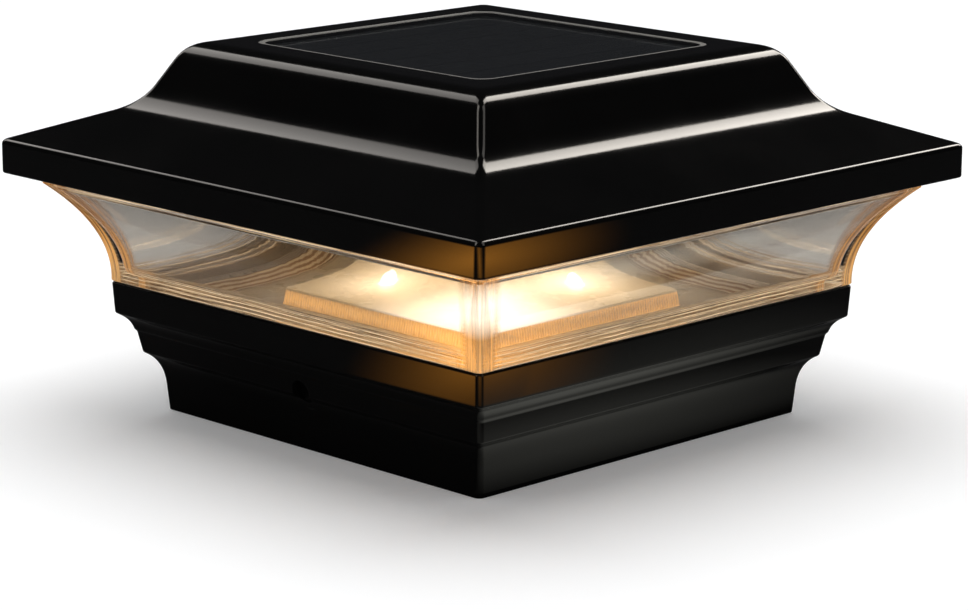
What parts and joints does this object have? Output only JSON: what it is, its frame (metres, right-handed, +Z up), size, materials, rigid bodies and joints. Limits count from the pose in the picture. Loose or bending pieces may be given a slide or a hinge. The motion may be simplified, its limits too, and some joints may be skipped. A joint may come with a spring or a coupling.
{
  "type": "deck post cap light",
  "caption": "Square solar deck post cap light: black moulded base and hipped roof, clear flared lens with a warm lit tray, and a solar panel flush in the roof.",
  "frame": {"origin": "centre of the square foot, on the plane of its bottom edge", "axes": "+Z up out of the post; +X and +Y square to the cap's sides. The post screw holes are in the -Y and +Y sides and the solar panel's strips run along Y"},
  "size_m": [0.215, 0.215, 0.1187],
  "materials": {
    "black_casting": "satin powder coat",
    "clear_lens": "clear moulded",
    "tray_sheet": "glossy cream",
    "rubber_seal": "matt",
    "screw_steel": "plated",
    "panel_backing": "matt",
    "cell_silicon": "dark blue-grey",
    "panel_glazing": "clear",
    "housing_plastic": "fine texture",
    "window_plastic": "frosted",
    "board_green": "solder resist",
    "board_white": "solder resist",
    "chip_black": "matt",
    "diode_lens": "lit",
    "switch_metal": "plated",
    "switch_plastic": "matt",
    "cell_wrap": "shrink wrap",
    "contact_metal": "nickel plated",
    "solder_copper": "bare",
    "lead_insulation": "satin"
  },
  "bodies": {
    "base": {"base_casting": "black_casting", "lower_gasket": "rubber_seal", "lens": "clear_lens", "reflector_tray": "tray_sheet", "tray_screws": "screw_steel", "eave_screws": "screw_steel"},
    "roof": {"roof_casting": "black_casting", "upper_gasket": "rubber_seal", "panel_gasket": "rubber_seal", "panel_board": "panel_backing", "solar_cells": "cell_silicon", "panel_cover": "panel_glazing", "panel_terminals": "solder_copper", "housing": "housing_plastic", "housing_seal": "rubber_seal", "housing_lid": "housing_plastic", "housing_screws": "screw_steel", "lid_grommet": "rubber_seal", "control_board": "board_green", "board_parts": "chip_black", "board_screws": "screw_steel", "led_board": "board_white", "leds": "diode_lens", "led_board_screws": "screw_steel", "led_window": "window_plastic", "switch_body": "switch_metal", "battery_cell": "cell_wrap", "contact_plate": "contact_metal", "contact_spring": "contact_metal", "panel_leads": "lead_insulation", "battery_leads": "lead_insulation", "led_leads": "lead_insulation", "switch_leads": "lead_insulation"},
    "switch_button": {"switch_slider": "switch_plastic"},
    "battery_door": {"battery_door": "housing_plastic", "door_screws": "screw_steel"}
  },
  "joints": [
    {"name": "roof_lift", "type": "slide", "parent": "base", "child": "roof", "axis": [0, 0, 1], "range_m": [0, 0.06]},
    {"name": "switch_slide", "type": "slide", "parent": "roof", "child": "switch_button", "axis": [1, 0, 0], "range_m": [0, 0.004]},
    {"name": "door_off", "type": "slide", "parent": "roof", "child": "battery_door", "axis": [0, 0, -1], "range_m": [0, 0.02]}
  ]
}
